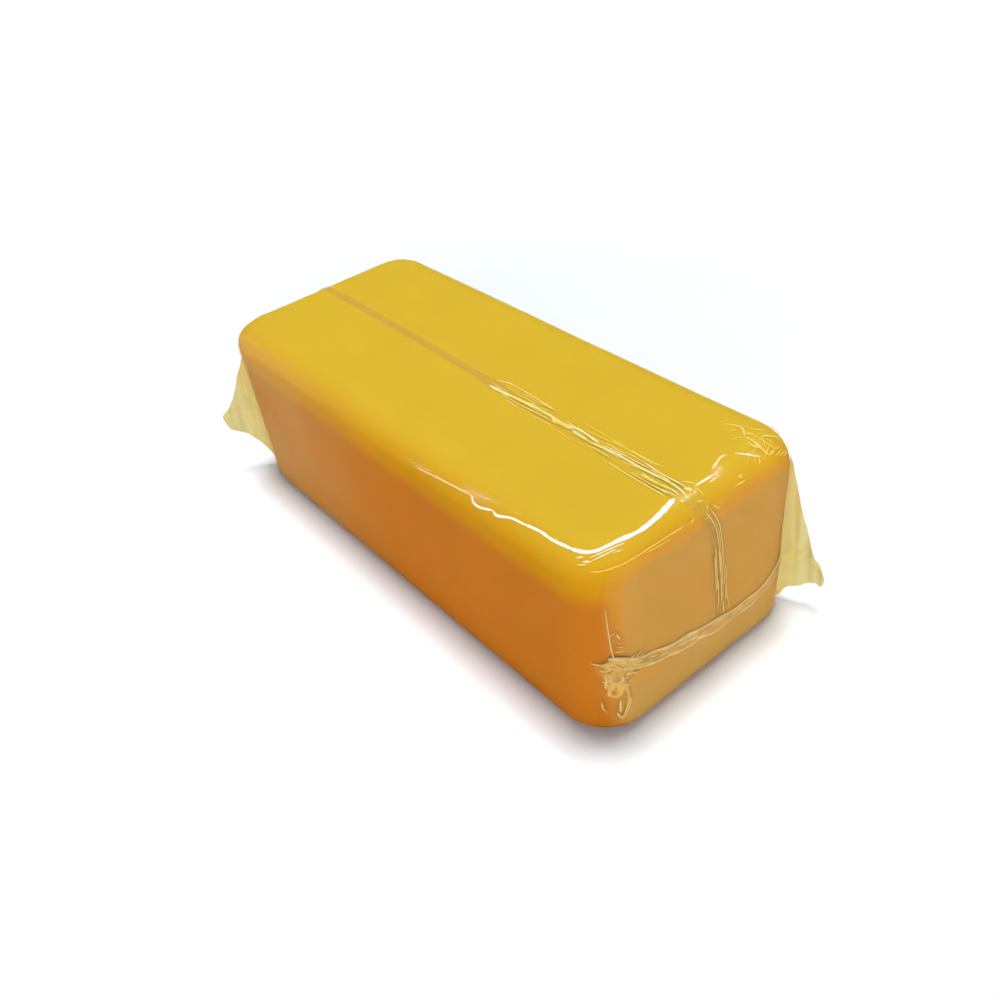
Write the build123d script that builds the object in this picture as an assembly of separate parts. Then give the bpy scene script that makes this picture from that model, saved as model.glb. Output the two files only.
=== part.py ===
from build123d import *
import os
from math import atan2, cos, radians, sin, sqrt

# A 200 g bar of detailing clay, sealed in one web of clear shrink film.
# Millimetres. The bar lies on its lower face, and the origin is the centre of that face.
# +X runs along the bar to its near end, +Y to its right side and +Z up.

# The pressed block of clay
clay_length = 95.7
clay_width = 40.7
clay_height = 31.25
corner_radius = 7.4
top_edge_radius = 5.4
bottom_edge_bevel = 1.1

# The film, drawn tight round the block
film_thickness = 0.1
film_gap = 0.05

# The lengthwise weld: both edges of the web welded together, folded flat and pleated by the heat
seam_width = 3.0
seam_thickness = 0.15
seam_far_offset = 0.5
seam_near_offset = -1.1
seam_near_foot_offset = 2.8
seam_far_foot_offset = -0.6
pleat_count = 3
pleat_width = 0.4
pleat_height = 0.15

# The crosswise weld: the bead that the hot wire leaves across each end
seal_width = 1.1
seal_height = 0.45

# A film corner that stands out where the weld is wider than the bar: two layers, welded between
ear_thickness = 0.25
ear_weld_width = 0.9
ear_weld_height = 0.15
ear_top_drop = 2.3
ear_foot = 2.6
ear_nose_length = 1.9
ear_nose_rise = 2.6
ear_nose_drop = 3.4
ear_nose_radius = 0.7
ear_edge_hollow = 0.35
gusset_width = 3.2
gusset_length = 2.2
near_right_reach = 7.4
near_right_droop = 1.5
near_right_bend_deg = -50
far_left_reach = 7.9
far_left_droop = 0.6
far_left_bend_deg = 25
far_right_reach = 6.8
far_right_droop = 0.9
far_right_bend_deg = 32

# The one film corner that shrank and folded flat, on the near end
fold_thickness = 0.3
crease_width = 0.5
crease_height = 0.3

# The courses of the end welds, from left to right: (share of the way from the bar's middle to where
# an ear stands out, share of the bar's height)
near_seal_course = [(-1, 0.437), (-0.87, 0.418), (-0.55, 0.339), (-0.22, 0.288), (0.16, 0.244),
                    (0.55, 0.235), (0.77, 0.279), (1, 0.314)]
far_seal_course = [(-1, 0.4), (-0.77, 0.368), (-0.38, 0.31), (0, 0.285), (0.38, 0.273), (0.77, 0.304),
                   (1, 0.336)]

# The outline of the folded corner, in the same shares: its tail at the top, its knot and its lower lobe
fold_outline = [(-0.98, 0.8), (-0.93, 0.65), (-0.85, 0.48), (-0.65, 0.4), (-0.73, 0.323), (-0.82, 0.27),
                (-0.8, 0.165), (-0.87, 0.06), (-0.96, 0.11), (-1.01, 0.25), (-1.03, 0.41), (-1, 0.6)]

# The folded corner's creases: its tail, its knot, and the strands of its lobe
fold_creases = [[(-0.97, 0.76), (-0.9, 0.55), (-0.86, 0.43)], [(-1, 0.42), (-0.86, 0.38), (-0.68, 0.385)],
                [(-0.93, 0.38), (-0.99, 0.24), (-0.94, 0.13)], [(-0.87, 0.36), (-0.9, 0.2), (-0.87, 0.09)]]

# How far cutters run past what they cut, and how deep an ear's cutter starts inside the corner
clear = 5.0
root_depth = 1.5

skin_lift = film_gap + film_thickness
clay_bottom = skin_lift
skin_top = clay_bottom + clay_height + skin_lift
half_length = clay_length / 2 + skin_lift
half_width = clay_width / 2 + skin_lift
skin_radius = corner_radius + skin_lift
# Where each upright edge stands out furthest, on the diagonal of its corner
root_x = half_length - skin_radius * (1 - cos(radians(45)))
root_y = half_width - skin_radius * (1 - sin(radians(45)))
# Where the top's edge starts to round over
shoulder_height = skin_top - top_edge_radius - skin_lift


def block_form(grow):
    """The block's outer form, grown by this much all round, edge radii included."""
    plan = RectangleRounded(clay_length + 2 * grow, clay_width + 2 * grow, corner_radius + grow)
    body = Pos(0, 0, clay_bottom - grow) * extrude(plan, clay_height + 2 * grow)
    body = fillet(body.faces().sort_by(Axis.Z)[-1].edges(), top_edge_radius + grow)
    return chamfer(body.faces().sort_by(Axis.Z)[0].edges(), bottom_edge_bevel)


def on_skin(cutter, lift, depth):
    """What a cutter takes out of the layer from this lift above the clay to depth further out."""
    return (cutter & block_form(lift + depth)) - block_form(lift)


def through_end(face, end):
    """An outline across the bar and up it, pushed through the far (-1) or near (+1) end."""
    start = half_length - skin_radius - clear
    solid = extrude(Plane.YZ * face, end * (half_length - start + clear))
    return Pos(end * start, 0, 0) * solid


def beyond_roots(end, half_span=half_width + clear):
    """The space of one end, from its ears' roots outwards, out to half_span either side of its middle."""
    reach = half_length + clear - root_x
    middle = Pos(end * (root_x + reach / 2), 0, skin_top / 2)
    return middle * Box(reach, 2 * half_span, skin_top + 2 * clear)


def on_end(shares):
    """Points of an end, given in shares, as offsets from the bar's middle and heights."""
    return [(across * root_y, up * skin_top) for across, up in shares]


def seal_line(course):
    """The line of an end weld. It runs on level round the upright edges."""
    points = on_end(course)
    wave = Spline(*points, tangents=[(1, 0), (1, 0)])
    left = Line((-half_width - clear, points[0][1]), points[0])
    right = Line(points[-1], (half_width + clear, points[-1][1]))
    return left + wave + right


def above_seal(end, course):
    """The space of one end that lies above its weld's middle line."""
    line = seal_line(course)
    left, right = line @ 0, line @ 1
    ceiling = skin_top + clear
    rim = Polyline((right.X, right.Y), (right.X, ceiling), (left.X, ceiling), (left.X, left.Y))
    return through_end(make_face(line + rim), end)


def end_panels(end, course):
    """The film over one end, parted by its weld into an upper and a lower panel."""
    film = on_skin(beyond_roots(end), film_gap, film_thickness)
    above = above_seal(end, course)
    return film & above, film - above


def end_seal(end, course):
    """The weld bead across one end, from one ear's root to the other's."""
    bead = through_end(trace(seal_line(course), seal_width), end) & beyond_roots(end, root_y)
    return on_skin(bead, skin_lift, seal_height)


def gusset(root, outward, height):
    """The pocket where an ear's two layers part and run into the film of the side and of the end."""
    sideways = Vector(-outward.Y, outward.X, 0) * (gusset_width / 2)
    edge = root - outward * (skin_radius - sqrt(skin_radius**2 - (gusset_width / 2) ** 2))
    inner, apex = root - outward * root_depth, root + outward * gusset_length
    plan = make_face(Polyline(inner, edge + sideways, apex, edge - sideways, close=True))
    high, low = root + Vector(0, 0, shoulder_height), root + Vector(0, 0, ear_foot)
    return loft([Vertex(*high), Pos(0, 0, height) * plan, Vertex(*low)], ruled=True)


def standing_ear(end, side, course, reach, droop, bend):
    """A film corner that stands out of one upright edge and turns by bend degrees on its way out."""
    diagonal = atan2(side, end)
    chord = diagonal + radians(bend / 2)
    root = Vector(end * root_x, side * root_y, 0)
    upright = Plane(origin=root, x_dir=(cos(chord), sin(chord), 0), z_dir=(sin(chord), -cos(chord), 0))
    outward = Vector(cos(diagonal), sin(diagonal), 0)
    run = root_depth + reach + clear
    curve = JernArc(root - outward * root_depth, outward, run / abs(radians(bend)), bend)
    leaf = extrude(trace(curve, ear_thickness), skin_top)
    weld_leaf = extrude(trace(curve, ear_thickness + 2 * ear_weld_height), skin_top)

    weld_root = on_end(course)[0 if side < 0 else -1][1]
    tip = (reach, weld_root - droop)
    shoulder = (reach - ear_nose_length, tip[1] + ear_nose_rise)
    heel = (reach - ear_nose_length / 2, tip[1] - ear_nose_drop)
    top = (-root_depth, skin_top - ear_top_drop)
    foot = (-root_depth, ear_foot)
    upper_middle = ((top[0] + shoulder[0]) / 2 - ear_edge_hollow, (top[1] + shoulder[1]) / 2)
    lower_middle = ((foot[0] + heel[0]) / 2, (foot[1] + heel[1]) / 2 + ear_edge_hollow)
    rim = ThreePointArc(top, upper_middle, shoulder) + Polyline(shoulder, tip, heel)
    rim = rim + ThreePointArc(heel, lower_middle, foot) + Line(foot, top)
    outline = make_face(rim)
    outline = fillet(outline.vertices().sort_by(Axis.X)[2:], ear_nose_radius)
    flap = extrude(upright * outline, clear, both=True)
    weld = extrude(upright * trace(Line((-root_depth, weld_root), tip), ear_weld_width), clear, both=True)
    ear = (leaf & flap) + (weld_leaf & flap & weld) + gusset(root, outward, weld_root)
    return ear - block_form(skin_lift)


def fold_space():
    """The space of the folded corner, pushed through the near end."""
    return through_end(make_face(Spline(*on_end(fold_outline), periodic=True)), 1)


def folded_ear():
    """The folded corner: a pad of crumpled film with creases that stand up from it."""
    space = fold_space()
    ear = on_skin(space, skin_lift, fold_thickness)
    for crease in fold_creases:
        ridge = through_end(trace(Polyline(*on_end(crease)), crease_width), 1) & space
        ear += on_skin(ridge, skin_lift, fold_thickness + crease_height)
    return ear


def seam_layer(width, shift, thickness):
    """A strip that follows the seam, moved sideways by shift: over the top and down both ends."""
    far, near = seam_far_offset + shift, seam_near_offset + shift
    above = skin_top + clear - shoulder_height
    top_line = Line((-half_length - clear, far), (half_length + clear, near))
    path = Pos(0, 0, shoulder_height) * extrude(trace(top_line, width), above)
    runs = ((1, near, seam_near_foot_offset, near_seal_course), (-1, far, seam_far_foot_offset, far_seal_course))
    for end, start, foot, course in runs:
        down = Line((start, shoulder_height), (foot + shift, 0))
        path += through_end(trace(down, width), end) & above_seal(end, course)
    return on_skin(path, skin_lift, thickness)


def back_seam():
    """The folded weld with its pleats."""
    seam = seam_layer(seam_width, 0, seam_thickness)
    spacing = (seam_width - pleat_width) / (pleat_count - 1)
    for index in range(pleat_count):
        shift = (index - (pleat_count - 1) / 2) * spacing
        seam += seam_layer(pleat_width, shift, seam_thickness + pleat_height)
    return seam


def build():
    """Every node by its name."""
    parts = {"clay_block": block_form(0)}
    web = block_form(skin_lift) - block_form(film_gap)
    parts["film_sleeve"] = web - beyond_roots(-1) - beyond_roots(1)
    parts["near_upper_panel"], parts["near_lower_panel"] = end_panels(1, near_seal_course)
    parts["far_upper_panel"], parts["far_lower_panel"] = end_panels(-1, far_seal_course)
    parts["near_left_ear"] = folded_ear()
    parts["near_right_ear"] = standing_ear(
        1, 1, near_seal_course, near_right_reach, near_right_droop, near_right_bend_deg
    )
    parts["far_left_ear"] = standing_ear(
        -1, -1, far_seal_course, far_left_reach, far_left_droop, far_left_bend_deg
    )
    parts["far_right_ear"] = standing_ear(
        -1, 1, far_seal_course, far_right_reach, far_right_droop, far_right_bend_deg
    )
    near_seal = end_seal(1, near_seal_course) - fold_space() - parts["near_right_ear"]
    far_seal = end_seal(-1, far_seal_course) - parts["far_left_ear"] - parts["far_right_ear"]
    parts["near_end_seal"] = near_seal
    parts["far_end_seal"] = far_seal
    parts["back_seam"] = back_seam() - near_seal - far_seal
    return parts


os.makedirs("parts", exist_ok=True)
for name, shape in build().items():
    export_step(shape, f"parts/{name}.step")
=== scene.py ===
from math import cos, pi, radians, sin

import bpy
import numpy as np
from mathutils import Matrix, Vector, noise


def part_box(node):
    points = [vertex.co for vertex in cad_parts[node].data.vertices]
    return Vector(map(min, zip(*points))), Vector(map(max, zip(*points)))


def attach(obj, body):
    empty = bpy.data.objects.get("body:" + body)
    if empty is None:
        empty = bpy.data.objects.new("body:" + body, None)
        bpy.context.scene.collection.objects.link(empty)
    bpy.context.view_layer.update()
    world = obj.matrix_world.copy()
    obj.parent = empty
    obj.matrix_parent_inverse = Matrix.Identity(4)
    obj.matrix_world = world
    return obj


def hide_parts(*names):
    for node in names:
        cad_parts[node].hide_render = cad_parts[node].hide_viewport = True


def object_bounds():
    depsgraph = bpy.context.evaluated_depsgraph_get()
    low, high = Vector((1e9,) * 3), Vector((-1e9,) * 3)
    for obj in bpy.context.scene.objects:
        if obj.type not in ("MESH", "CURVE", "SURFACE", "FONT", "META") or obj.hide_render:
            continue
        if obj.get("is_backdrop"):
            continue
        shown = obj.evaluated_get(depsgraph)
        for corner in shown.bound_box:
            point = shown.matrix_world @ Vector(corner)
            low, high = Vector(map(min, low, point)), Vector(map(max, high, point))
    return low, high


bl_info = {
    "name": "Wrapped Clay Bar",
    "version": (1, 0, 0),
    "blender": (4, 5, 0),
    "location": "3D Viewport > Sidebar > Clay Bar",
    "description": "Models a bar of detailing clay sealed in shrink film around its packed CAD solids",
    "category": "Add Mesh",
}

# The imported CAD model, which every piece is built around. Its +X end is the near end.
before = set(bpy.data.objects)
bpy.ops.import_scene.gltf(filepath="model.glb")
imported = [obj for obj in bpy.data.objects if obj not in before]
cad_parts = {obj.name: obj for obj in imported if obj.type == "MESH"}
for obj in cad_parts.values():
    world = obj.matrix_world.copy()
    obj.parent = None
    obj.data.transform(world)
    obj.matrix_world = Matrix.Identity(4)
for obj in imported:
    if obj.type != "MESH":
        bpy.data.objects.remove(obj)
cad_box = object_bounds()

MM = 0.001
# Two places this close, in metres, count as one
SLACK = 1e-6


def linear(hex_colour):
    """An sRGB hex colour as linear red, green and blue."""
    shares = [int(hex_colour[i : i + 2], 16) / 255 for i in (1, 3, 5)]
    return [s / 12.92 if s <= 0.04045 else ((s + 0.055) / 1.055) ** 2.4 for s in shares]


# ---------------------------------------------------------------- sizes and colours


def length_setting(name, description, millimetres):
    return bpy.props.FloatProperty(
        name=name, description=description, default=millimetres * MM, min=0, unit="LENGTH", precision=5
    )


def colour_setting(name, description, hex_colour):
    colour = linear(hex_colour)
    return bpy.props.FloatVectorProperty(
        name=name, description=description, default=colour, min=0, max=1, size=3, subtype="COLOR"
    )


def power_setting(name, description, watts):
    return bpy.props.FloatProperty(name=name, description=description, default=watts, min=0)


class BlockSettings(bpy.types.PropertyGroup):
    """The pressed block of clay."""

    corner_radius: length_setting("Corner radius", "Radius of the four upright edges", 7.4)
    top_radius: length_setting("Top edge radius", "Radius of the edge round the top", 5.4)
    bottom_radius: length_setting("Bottom edge radius", "Radius of the edge round the bottom", 0.8)
    dent_depth: length_setting("Dent depth", "Depth of the soft hollows that pressing leaves", 0.08)
    # Painted light and shade: the clay is one colour, and these are a lit copy of it for the top and shaded
    # copies for the rounded edge, the long sides and the ends
    lit_top_colour: colour_setting("Top", "Clay on the top face", "#D2AA2E")
    shaded_edge_colour: colour_setting("Edge", "Clay on the rounded top edge", "#D99410")
    shaded_side_colour: colour_setting("Side", "Clay on the two long sides", "#CE771C")
    shaded_end_colour: colour_setting("End", "Clay on the two ends", "#D9963C")


class FilmSettings(bpy.types.PropertyGroup):
    """The shrink film and its welds."""

    lift: length_setting("Lift", "Height of the film's outer surface above the clay", 0.12)
    crease_height: length_setting("Crease height", "Greatest height of the crisp creases in the film", 0.09)
    seam_width: length_setting("Seam width", "Width of the lengthwise folded weld", 3.0)
    seam_thickness: length_setting("Seam thickness", "Thickness of the lengthwise folded weld", 0.15)
    pleat_height: length_setting("Pleat height", "Height of the pleats on the lengthwise weld", 0.08)
    seal_width: length_setting("Seal width", "Width of the end weld's ribbon", 2.7)
    seal_height: length_setting("Seal height", "Height of the end weld's ribbon", 0.22)
    tint: colour_setting("Film tint", "Pale yellow haze of the loose film", "#E2DA82")
    amber: colour_setting("Amber film", "Film that lies on the clay and takes on its colour", "#F2BC5E")
    # Painted highlight: the pale colour painted on the tops of the crisp creases, where the film would
    # mirror the lights
    crease_highlight: colour_setting("Crease tint", "Crisp creases that catch the light best", "#FFF8DC")
    crease_gold: colour_setting("Crease gold", "Lesser creases, which take on the clay's colour", "#E8C648")
    seam_tan: colour_setting("Seam tan", "Doubled film of the seam where it lies flat", "#CC9654")
    # Painted highlight with painted shade: the pale colour on the end creases' tops, darker than the rim's
    # because the ends see less light; the end seals' beads take it as their milky tint too
    end_crease: colour_setting("End creases", "Creases on the ends, which see less light", "#FAE2A6")


class StudioSettings(bpy.types.PropertyGroup):
    """The table and the light."""

    floor_colour: colour_setting("Floor", "Plain pale table", "#F4F4F4")
    key_power: power_setting("Key power", "Power of the overhead softbox, in watts", 16)
    fill_power: power_setting("Fill power", "Power of the low softbox in front, in watts", 6.2)
    glint_power: power_setting("Glint power", "Power of the panels that show as glints, in W per m2", 350)


def settings():
    scene = bpy.context.scene
    return scene.clay_bar_block, scene.clay_bar_film, scene.clay_bar_studio


# ---------------------------------------------------------------- the bar's form, in millimetres


def smooth(t):
    """0 up to t = 0 and 1 from t = 1 on, with an even curve between."""
    t = np.clip(t, 0, 1)
    return t * t * (3 - 2 * t)


def rounded_meet(a, b, radius):
    """Distance to two surfaces that meet at a rounded edge, from the distances to each."""
    a, b = a + radius, b + radius
    return np.hypot(np.maximum(a, 0), np.maximum(b, 0)) + np.minimum(np.maximum(a, b), 0) - radius


class Form:
    """The rounded outer form of the clay, which the film and every weld follow."""

    def __init__(self):
        block, film, _ = settings()
        low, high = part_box("clay_block")
        self.half_x, self.half_y = high.x / MM, high.y / MM
        self.bottom, self.top = low.z / MM, high.z / MM
        self.corner = block.corner_radius / MM
        self.top_radius = block.top_radius / MM
        self.bottom_radius = block.bottom_radius / MM
        self.lift = film.lift / MM
        self.skin_x, self.skin_y = self.half_x + self.lift, self.half_y + self.lift
        self.skin_top = self.top + self.lift
        self.skin_corner = self.corner + self.lift
        # Where each upright edge of the skin stands out furthest
        self.root_x = self.skin_x - self.skin_corner * (1 - cos(pi / 4))
        self.root_y = self.skin_y - self.skin_corner * (1 - sin(pi / 4))

    def distance(self, points):
        """How far points are above the clay's surface."""
        ends = np.abs(points[:, 0]) - (self.half_x - self.corner)
        sides = np.abs(points[:, 1]) - (self.half_y - self.corner)
        wall = np.hypot(np.maximum(ends, 0), np.maximum(sides, 0))
        wall += np.minimum(np.maximum(ends, sides), 0) - self.corner
        upper = rounded_meet(wall, points[:, 2] - self.top, self.top_radius)
        lower = rounded_meet(wall, self.bottom - points[:, 2], self.bottom_radius)
        return np.where(points[:, 2] > (self.top + self.bottom) / 2, upper, lower)

    def outward(self, points):
        """The surface's outward direction under points."""
        step = 0.001
        slopes = [
            self.distance(points + step * axis) - self.distance(points - step * axis) for axis in np.eye(3)
        ]
        slopes = np.stack(slopes, axis=1)
        return slopes / np.maximum(np.linalg.norm(slopes, axis=1, keepdims=True), 1e-9)

    def on(self, points, lift):
        """The points moved straight to this height above the clay's surface."""
        points = np.array(points, float)
        for _ in range(4):
            points = points + (lift - self.distance(points))[:, None] * self.outward(points)
        return points

    def on_skin(self, points):
        return self.on(points, self.lift)


# How the soft clay settles out of true: how far its far left edge leans out at the top, and how far the
# film draws out its near right corner on top, each along and across. Then the two far corners on top, which
# the film draws out and lifts: side, how far out and how far up.
FAR_LEFT_LEAN = (-0.4, -0.25)
NEAR_RIGHT_PULL = (0.35, 0.3)
FAR_TIPS = ((-1, 1.0, 1.2), (1, 0.8, 0.9))


def settled(points):
    """Where points of the square bar end up once the clay has settled a little out of true."""
    form = Form()
    along, across = points[:, 0] / form.half_x, points[:, 1] / form.half_y
    up = 2 * points[:, 2] / form.top - 1
    upper = np.clip(up, 0, 1)
    far_left = smooth((-along - 0.6) / 0.4) * smooth((-across - 0.3) / 0.6) * up
    near_right = smooth((along - 0.6) / 0.4) * smooth((across - 0.3) / 0.6) * upper
    shift = np.zeros_like(points)
    for i in (0, 1):
        shift[:, i] = FAR_LEFT_LEAN[i] * far_left + NEAR_RIGHT_PULL[i] * near_right
    tip = smooth((-along - 0.88) / 0.12) * upper
    for side, out, rise in FAR_TIPS:
        drawn = tip * smooth((side * across - 0.72) / 0.28)
        shift += drawn[:, None] * np.array([-out, side * out, rise])
    return points + shift


def runs_along(line):
    """How far along a line each of its points is."""
    return np.concatenate([[0], np.cumsum(np.linalg.norm(np.diff(line, axis=0), axis=1))])


def line_length(line):
    return np.linalg.norm(np.diff(line, axis=0), axis=1).sum()


def spaced(line, count):
    """A line's points again, at equal steps along it."""
    run = runs_along(line)
    steps = np.linspace(0, run[-1], count)
    return np.stack([np.interp(steps, run, line[:, i]) for i in range(line.shape[1])], axis=1)


def curve_through(points, count):
    """A smooth line through points, as count points at equal steps along it."""
    points = np.array(points, float)
    ends = np.vstack([2 * points[0] - points[1], points, 2 * points[-1] - points[-2]])
    steps_per_span = 24
    t = np.linspace(0, 1, steps_per_span, endpoint=False)[:, None]
    line = [
        0.5 * (2 * b + (c - a) * t + (2 * a - 5 * b + 4 * c - d) * t**2 + (3 * b - a - 3 * c + d) * t**3)
        for a, b, c, d in zip(ends, ends[1:], ends[2:], ends[3:])
    ]
    return spaced(np.vstack([*line, points[-1:]]), count)


def near_line(points, line):
    """Each point's distance to a line and its place along it, from 0 to 1."""
    starts, spans, done = line[:-1], np.diff(line, axis=0), runs_along(line)
    best = np.full(len(points), np.inf)
    place = np.zeros(len(points))
    for start, span, before, after in zip(starts, spans, done, done[1:]):
        t = np.clip((points - start) @ span / max(span @ span, 1e-12), 0, 1)
        away = np.linalg.norm(points - start - t[:, None] * span, axis=1)
        closer = away < best
        best[closer] = away[closer]
        place[closer] = (before + t[closer] * (after - before)) / done[-1]
    return best, place


def crease_heights(points, creases):
    """How far creases raise a surface at points. A crease is (line, height, width, share that fades at each
    end)."""
    raised = np.zeros(len(points))
    for line, height, width, fade in creases:
        reach = 4 * width
        near = np.where(np.all((points > line.min(0) - reach) & (points < line.max(0) + reach), axis=1))[0]
        if not len(near):
            continue
        away, place = near_line(points[near], line)
        bump = height * smooth(np.minimum(place, 1 - place) / fade) * np.exp(-((away / width) ** 2))
        strongest = np.abs(bump) > np.abs(raised[near])
        raised[near[strongest]] = bump[strongest]
    return raised


def lumps(points, size, seed):
    """Soft random heights from -1 to 1 whose lumps are about this many millimetres across."""
    # Each seed has its own place in the noise
    shift = Vector((seed * 17.3, seed * 5.1, seed * 9.7))
    return np.array([noise.noise(Vector(p) / size + shift) for p in points])


# ---------------------------------------------------------------- meshes


def deselect_all():
    if bpy.context.mode != "OBJECT":
        bpy.ops.object.mode_set(mode="OBJECT")
    bpy.ops.object.select_all(action="DESELECT")


def select_only(obj):
    deselect_all()
    obj.select_set(True)
    bpy.context.view_layer.objects.active = obj


def edit(obj, select_mode="EDGE"):
    select_only(obj)
    bpy.ops.object.mode_set(mode="EDIT")
    bpy.ops.mesh.select_mode(type=select_mode)


def select_edges(obj, wanted):
    """Selects the edges of the mesh being edited whose two ends' places the test wants."""
    bpy.ops.mesh.select_all(action="DESELECT")
    bpy.ops.object.mode_set(mode="OBJECT")
    mesh = obj.data
    for edge in mesh.edges:
        a, b = (mesh.vertices[i].co for i in edge.vertices)
        edge.select = wanted(a, b)
    bpy.ops.object.mode_set(mode="EDIT")


def new_piece(name):
    """Names what an operator has just added."""
    piece = bpy.context.active_object
    piece.name = name
    piece.data.name = name
    return piece


def add_box(name, low, high):
    """A box between two corners, in metres."""
    deselect_all()
    bpy.ops.mesh.primitive_cube_add(size=1, location=(low + high) / 2, scale=high - low)
    box = new_piece(name)
    bpy.ops.object.transform_apply(location=True, rotation=True, scale=True)
    return box


def add_tube(name, segments, rings):
    """A capped tube of unit radius from z = 0 to 1, cut into rings. Returns it with each vertex's place
    round it, from 0 to 1, and along it."""
    deselect_all()
    bpy.ops.mesh.primitive_cylinder_add(
        vertices=segments, radius=1, depth=1, end_fill_type="NGON", location=(0, 0, 0.5)
    )
    tube = new_piece(name)
    bpy.ops.object.transform_apply(location=True, rotation=True, scale=True)
    edit(tube)
    select_edges(tube, lambda a, b: abs(a.z - b.z) > 0.5)
    bpy.ops.mesh.subdivide(number_cuts=rings - 2)
    bpy.ops.object.mode_set(mode="OBJECT")
    places = vertices_of(tube)
    around = (np.arctan2(places[:, 1], places[:, 0]) / (2 * pi)) % 1
    return tube, around, places[:, 2]


def cut_zones(piece, axis, zones):
    """Divides a box along one axis into zones (start, stop, steps), all in millimetres."""
    edit(piece)
    normal = [float(i == axis) for i in range(3)]
    for start, _, _ in zones[1:]:
        bpy.ops.mesh.select_all(action="SELECT")
        bpy.ops.mesh.bisect(plane_co=[start * MM * n for n in normal], plane_no=normal)
    for start, stop, steps in zones:
        low, high = start * MM - SLACK, stop * MM + SLACK

        def lies_along(a, b):
            across = (a - b).length - abs(a[axis] - b[axis])
            return across < SLACK and low <= min(a[axis], b[axis]) and max(a[axis], b[axis]) <= high

        select_edges(piece, lies_along)
        bpy.ops.mesh.subdivide(number_cuts=steps - 1)
    bpy.ops.object.mode_set(mode="OBJECT")


def vertices_of(piece):
    places = np.empty(len(piece.data.vertices) * 3)
    piece.data.vertices.foreach_get("co", places)
    return places.reshape(-1, 3)


def move_vertices(piece, millimetres):
    """Puts a piece's vertices where points of the square bar settle, none of them below the table."""
    places = settled(millimetres)
    places[:, 2] = np.maximum(places[:, 2], 0)
    piece.data.vertices.foreach_set("co", (places * MM).ravel())
    piece.data.update()


def store(piece, name, values):
    """Keeps a number for each vertex, for the material to read."""
    attribute = piece.data.attributes.new(name, "FLOAT", "POINT")
    attribute.data.foreach_set("value", np.asarray(values, np.float32))


def finish_piece(piece, material, slot, *nodes):
    """Turns a piece's faces outward, gives it its material and hands it to the frame in place of nodes."""
    edit(piece, "FACE")
    bpy.ops.mesh.select_all(action="SELECT")
    bpy.ops.mesh.normals_make_consistent(inside=False)
    select_only(piece)
    bpy.ops.object.shade_smooth()
    piece.data.materials.clear()
    piece.data.materials.append(material)
    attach(piece, "root")
    if nodes:
        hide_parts(*nodes)
    piece.select_set(False)


# ---------------------------------------------------------------- materials


def add_node(tree, kind, values=None, **more):
    """Adds a shader node and sets what is named: an input, by its name or by i and its number, or else a
    setting of the node. An input whose value is a socket is joined to it."""
    node = tree.nodes.new("ShaderNode" + kind)
    for key, value in {**(values or {}), **more}.items():
        numbered = key[0] == "i" and key[1:].isdigit()
        socket = node.inputs[int(key[1:])] if numbered else node.inputs.get(key)
        if socket is None:
            setattr(node, key, value)
        elif isinstance(value, bpy.types.NodeSocket):
            tree.links.new(socket, value)
        else:
            socket.default_value = value
    return node


def new_material(name):
    material = bpy.data.materials.new(name)
    material.use_nodes = True
    material.node_tree.nodes.clear()
    return material, material.node_tree


def show(tree, shader):
    """Makes a shader the surface of a material."""
    add_node(tree, "OutputMaterial", Surface=shader.outputs[0])


def stored(tree, name):
    """The number that the piece keeps for each vertex under this name."""
    return add_node(tree, "Attribute", attribute_name=name).outputs["Fac"]


def ramp(tree, factor, stops):
    node = add_node(tree, "ValToRGB", i0=factor)
    elements = node.color_ramp.elements
    while len(elements) < len(stops):
        elements.new(0.5)
    for element, (place, colour) in zip(elements, stops):
        element.position = place
        element.color = (*colour, 1)
    return node.outputs["Color"]


def mixed(tree, share, first, second):
    """A colour that goes from the first, at share 0, to the second, at share 1."""
    return add_node(tree, "Mix", data_type="RGBA", i0=share, i6=first, i7=second).outputs[2]


def object_coordinates(tree):
    return add_node(tree, "TexCoord").outputs["Object"]


def object_noise(tree, millimetres, detail=2):
    """Noise on Object coordinates whose blobs are about this many millimetres across."""
    scale = 1 / (millimetres * MM)
    node = add_node(tree, "TexNoise", Scale=scale, Detail=detail, Vector=object_coordinates(tree))
    return node.outputs["Fac"]


def mapped(tree, value, low, high, to_low, to_high):
    """A value that runs from low to high, as one that runs between two others."""
    ends = {"From Min": low, "From Max": high, "To Min": to_low, "To Max": to_high}
    return add_node(tree, "MapRange", ends, Value=value).outputs["Result"]


def pressed_clay():
    """Polymer detailing clay, pressed in a mould: a waxy, slightly translucent paste with a smooth face."""
    block = settings()[0]
    material, tree = new_material("pressed_polymer_clay")
    # Painted light and shade: each place takes the lit or a shaded copy of the clay colour by which way it
    # faces
    side, edge, top = block.shaded_side_colour, block.shaded_edge_colour, block.lit_top_colour
    upright = ramp(tree, stored(tree, "facing_up"), [(0, side), (0.03, side), (0.26, edge), (0.97, top)])
    colour = mixed(tree, stored(tree, "facing_end"), upright, (*block.shaded_end_colour, 1))
    # Kneaded paste is never one even colour: clouds about 14 mm across, a little lighter and darker
    clouds = mapped(tree, object_noise(tree, 14, 3), 0.3, 0.7, 0.975, 1.025)
    toned = add_node(tree, "HueSaturation", Color=colour, Value=clouds)
    # Fine grain of the polishing grit, drawn 0.5 mm coarse so that it shows
    grain = add_node(tree, "Bump", Strength=0.15, Distance=0.05 * MM, Height=object_noise(tree, 0.5))
    # Light goes a little way into the paste, red the furthest, and its skin is too dull to mirror anything
    show(tree, add_node(tree, "BsdfPrincipled", {
        "Base Color": toned.outputs["Color"],
        "Normal": grain.outputs["Normal"],
        "Roughness": 0.55,
        "IOR": 1.48,
        "Specular IOR Level": 0.0,
        "Subsurface Weight": 0.12,
        "Subsurface Scale": 1.5 * MM,
        "Subsurface Radius": (1.0, 0.45, 0.12),
    }))
    return material


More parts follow.
